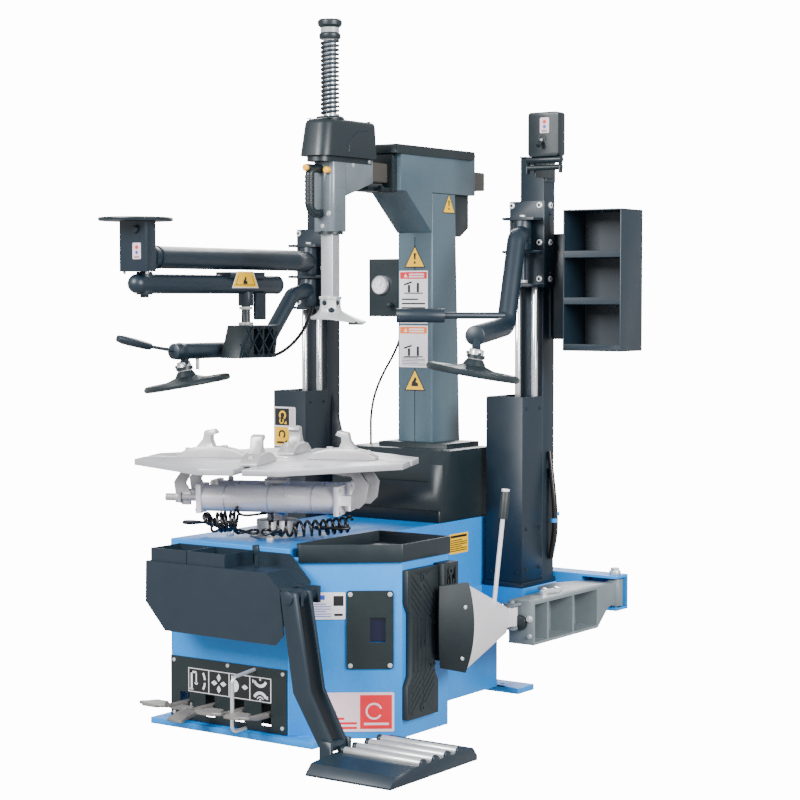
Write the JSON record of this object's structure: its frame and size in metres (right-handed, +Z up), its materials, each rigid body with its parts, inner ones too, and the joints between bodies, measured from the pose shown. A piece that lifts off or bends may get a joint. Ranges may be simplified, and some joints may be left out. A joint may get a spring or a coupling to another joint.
{
  "type": "tire changer",
  "caption": "Tire changer: tilting column with sliding mount head, clamping turntable, assist arms with press discs, bead breaker, wheel lift and pedals.",
  "frame": {"origin": "on the floor, midway between the front rail's two anchor holes, on the turntable's centreline", "axes": "+Z up, +Y from the pedals towards the column, +X to the machine's right seen by the operator"},
  "size_m": [1.234, 1.454, 1.91],
  "materials": {
    "blue_paint": "semi-gloss powder coat",
    "charcoal_paint": "satin powder coat",
    "column_paint": "satin powder coat",
    "arm_paint": "satin powder coat",
    "black_plastic": "fine texture",
    "pad_rubber": "moulded",
    "air_hose": "smooth",
    "zinc_steel": "zinc plated",
    "plate_steel": "satin, worn edges",
    "cylinder_aluminium": "extruded, satin",
    "bright_steel": "hard chromed",
    "cast_steel": "cast and machined",
    "shovel_paint": "light grey",
    "button_yellow": "gloss"
  },
  "bodies": {
    "base": {"cabinet": "blue_paint", "side_compartment": "blue_paint", "parts_tray": "black_plastic", "chassis": "blue_paint", "base_cover": "black_plastic", "tilt_hinge": "zinc_steel", "front_panels": "charcoal_paint", "bead_pads": "pad_rubber", "lift_housing": "charcoal_paint", "drive_unit": "cast_steel", "fasteners": "zinc_steel", "tower_posts": "charcoal_paint", "tower_covers": "charcoal_paint", "tool_cabinet": "charcoal_paint", "right_control_box": "black_plastic"},
    "lift_valve": {"lift_valve_lever": "zinc_steel"},
    "right_toggle": {"right_toggle": "zinc_steel"},
    "turntable": {"turntable": "plate_steel", "spiral_hoses": "air_hose"},
    "clamp_right": {"clamp_right": "plate_steel", "clamp_cylinders": "cylinder_aluminium"},
    "clamp_left": {"clamp_left": "plate_steel"},
    "clamp_front": {"clamp_front": "plate_steel"},
    "clamp_back": {"clamp_back": "plate_steel"},
    "column": {"column": "column_paint", "beam_fittings": "black_plastic", "gauge_box": "black_plastic", "gauge_hose": "pad_rubber"},
    "head": {"head_arm": "arm_paint", "guide_housing": "arm_paint", "head_cover": "black_plastic", "head_handle": "black_plastic"},
    "lock_button": {"lock_button": "button_yellow"},
    "tilt_button": {"tilt_button": "button_yellow"},
    "tool_shaft": {"tool_shaft": "bright_steel", "mount_head": "cast_steel", "shaft_spring": "bright_steel"},
    "left_carriage": {"left_carriage": "charcoal_paint", "left_lift_rods": "bright_steel"},
    "left_upper_arm": {"left_upper_arm": "charcoal_paint"},
    "left_link": {"left_link": "charcoal_paint"},
    "bead_press": {"bead_press": "black_plastic"},
    "left_lower_arm": {"left_lower_arm": "charcoal_paint"},
    "left_disc": {"left_disc": "charcoal_paint"},
    "right_carriage": {"right_carriage": "charcoal_paint", "right_lift_rods": "bright_steel"},
    "right_arm": {"right_arm": "charcoal_paint"},
    "right_disc": {"right_disc": "charcoal_paint"},
    "breaker_arm": {"breaker_arm": "charcoal_paint"},
    "shovel": {"shovel": "shovel_paint"},
    "wheel_lift": {"lift_arm": "charcoal_paint", "foot_plate": "charcoal_paint"},
    "lift_roller_1": {"lift_roller_1": "zinc_steel"},
    "pedal_1": {"pedal_1": "cast_steel"},
    "lift_roller_2": {"lift_roller_2": "zinc_steel"},
    "pedal_2": {"pedal_2": "cast_steel"},
    "lift_roller_3": {"lift_roller_3": "zinc_steel"},
    "pedal_3": {"pedal_3": "cast_steel"},
    "lift_roller_4": {"lift_roller_4": "zinc_steel"},
    "pedal_4": {"pedal_4": "cast_steel"}
  },
  "joints": [
    {"name": "table_spin", "type": "hinge", "parent": "base", "child": "turntable", "pos_m": [0, 0.193, 0.702], "axis": [0, 0, 1], "continuous": true},
    {"name": "clamp_right_slide", "type": "slide", "parent": "turntable", "child": "clamp_right", "axis": [0.9212, 0.3891, 0], "range_m": [-0.012, 0.085]},
    {"name": "clamp_left_slide", "type": "slide", "parent": "turntable", "child": "clamp_left", "axis": [-0.9212, -0.3891, 0], "range_m": [-0.012, 0.085]},
    {"name": "clamp_back_slide", "type": "slide", "parent": "turntable", "child": "clamp_back", "axis": [-0.3891, 0.9212, 0], "range_m": [-0.012, 0.085]},
    {"name": "clamp_front_slide", "type": "slide", "parent": "turntable", "child": "clamp_front", "axis": [0.3891, -0.9212, 0], "range_m": [-0.012, 0.085]},
    {"name": "column_tilt", "type": "hinge", "parent": "base", "child": "column", "pos_m": [0, 0.908, 0.58], "axis": [-1, 0, 0], "range_deg": [0, 22]},
    {"name": "head_slide", "type": "slide", "parent": "column", "child": "head", "axis": [0, -1, 0], "range_m": [0, 0.14]},
    {"name": "shaft_slide", "type": "slide", "parent": "head", "child": "tool_shaft", "axis": [0, 0, 1], "range_m": [-0.16, 0], "deforming": ["shaft_spring"]},
    {"name": "lock_button_press", "type": "slide", "parent": "head", "child": "lock_button", "axis": [0, 1, 0], "range_m": [0, 0.004], "stiffness_N_per_m": 600, "springref_m": -0.002},
    {"name": "tilt_button_press", "type": "slide", "parent": "head", "child": "tilt_button", "axis": [0, 1, 0], "range_m": [0, 0.003], "stiffness_N_per_m": 600, "springref_m": -0.002},
    {"name": "left_carriage_lift", "type": "slide", "parent": "base", "child": "left_carriage", "axis": [0, 0, 1], "range_m": [-0.15, 0.15]},
    {"name": "left_upper_swing", "type": "hinge", "parent": "left_carriage", "child": "left_upper_arm", "pos_m": [-0.429, 0.89, 1.25], "axis": [0, 0, 1], "range_deg": [0, 25]},
    {"name": "left_link_swing", "type": "hinge", "parent": "left_upper_arm", "child": "left_link", "pos_m": [-0.348, 0.053, 1.18], "axis": [0, 0, 1], "range_deg": [-20, 0]},
    {"name": "bead_press_turn", "type": "hinge", "parent": "left_link", "child": "bead_press", "pos_m": [-0.348, 0.486, 1.12], "axis": [0, 0, 1], "range_deg": [-10, 10]},
    {"name": "left_lower_swing", "type": "hinge", "parent": "left_carriage", "child": "left_lower_arm", "pos_m": [-0.429, 0.89, 1.15], "axis": [0, 0, 1], "range_deg": [-60, 0]},
    {"name": "left_disc_spin", "type": "hinge", "parent": "left_lower_arm", "child": "left_disc", "pos_m": [-0.41, 0.297, 0.899], "axis": [-0.1422, -0.0996, 0.9848], "continuous": true},
    {"name": "right_carriage_lift", "type": "slide", "parent": "base", "child": "right_carriage", "axis": [0, 0, 1], "range_m": [-0.1, 0.05]},
    {"name": "right_arm_swing", "type": "hinge", "parent": "right_carriage", "child": "right_arm", "pos_m": [0.31, 0.948, 1.32], "axis": [0, 0, 1], "range_deg": [-33, 50]},
    {"name": "right_disc_spin", "type": "hinge", "parent": "right_arm", "child": "right_disc", "pos_m": [0.49631, 0.39663, 0.946], "axis": [0.1422, 0.0996, 0.9848], "continuous": true},
    {"name": "right_toggle_flip", "type": "hinge", "parent": "base", "child": "right_toggle", "pos_m": [0.396, 0.9102, 1.594], "axis": [1, 0, 0], "range_deg": [-20, 20]},
    {"name": "breaker_swing", "type": "hinge", "parent": "base", "child": "breaker_arm", "pos_m": [0.528, 1.118, 0.28], "axis": [0, 0, 1], "range_deg": [0, 65]},
    {"name": "shovel_turn", "type": "hinge", "parent": "breaker_arm", "child": "shovel", "pos_m": [0.479, 0.623, 0.268], "axis": [0, 0, 1], "range_deg": [-1.5, 8]},
    {"name": "wheel_lift_raise", "type": "hinge", "parent": "base", "child": "wheel_lift", "pos_m": [0.317, -0.112, 0.402], "axis": [0, -1, 0], "range_deg": [0, 90]},
    {"name": "lift_roller_1_spin", "type": "hinge", "parent": "wheel_lift", "child": "lift_roller_1", "pos_m": [0.575, -0.129, 0.036], "axis": [1, 0, 0], "continuous": true},
    {"name": "lift_roller_2_spin", "type": "hinge", "parent": "wheel_lift", "child": "lift_roller_2", "pos_m": [0.575, -0.077, 0.036], "axis": [1, 0, 0], "continuous": true},
    {"name": "lift_roller_3_spin", "type": "hinge", "parent": "wheel_lift", "child": "lift_roller_3", "pos_m": [0.575, -0.025, 0.036], "axis": [1, 0, 0], "continuous": true},
    {"name": "lift_roller_4_spin", "type": "hinge", "parent": "wheel_lift", "child": "lift_roller_4", "pos_m": [0.575, 0.027, 0.036], "axis": [1, 0, 0], "continuous": true},
    {"name": "lift_valve_flip", "type": "hinge", "parent": "base", "child": "lift_valve", "pos_m": [0.148, -0.077, 0.458], "axis": [1, 0, 0], "range_deg": [-15, 15]},
    {"name": "pedal_1_press", "type": "hinge", "parent": "base", "child": "pedal_1", "pos_m": [-0.15, 0.043, 0.062], "axis": [1, 0, 0], "range_deg": [0, 12], "stiffness_Nm_per_rad": 12, "springref_deg": -14.32},
    {"name": "pedal_2_press", "type": "hinge", "parent": "base", "child": "pedal_2", "pos_m": [-0.062, 0.043, 0.062], "axis": [1, 0, 0], "range_deg": [0, 12], "stiffness_Nm_per_rad": 12, "springref_deg": -14.32},
    {"name": "pedal_3_press", "type": "hinge", "parent": "base", "child": "pedal_3", "pos_m": [0.038, 0.043, 0.062], "axis": [1, 0, 0], "range_deg": [0, 12], "stiffness_Nm_per_rad": 12, "springref_deg": -14.32},
    {"name": "pedal_4_press", "type": "hinge", "parent": "base", "child": "pedal_4", "pos_m": [0.128, 0.043, 0.062], "axis": [1, 0, 0], "range_deg": [0, 12], "stiffness_Nm_per_rad": 12, "springref_deg": -14.32}
  ],
  "couplings": [
    {"joint": "clamp_left_slide", "follows": "clamp_right_slide", "ratio": 1},
    {"joint": "clamp_back_slide", "follows": "clamp_right_slide", "ratio": 1},
    {"joint": "clamp_front_slide", "follows": "clamp_right_slide", "ratio": 1}
  ]
}
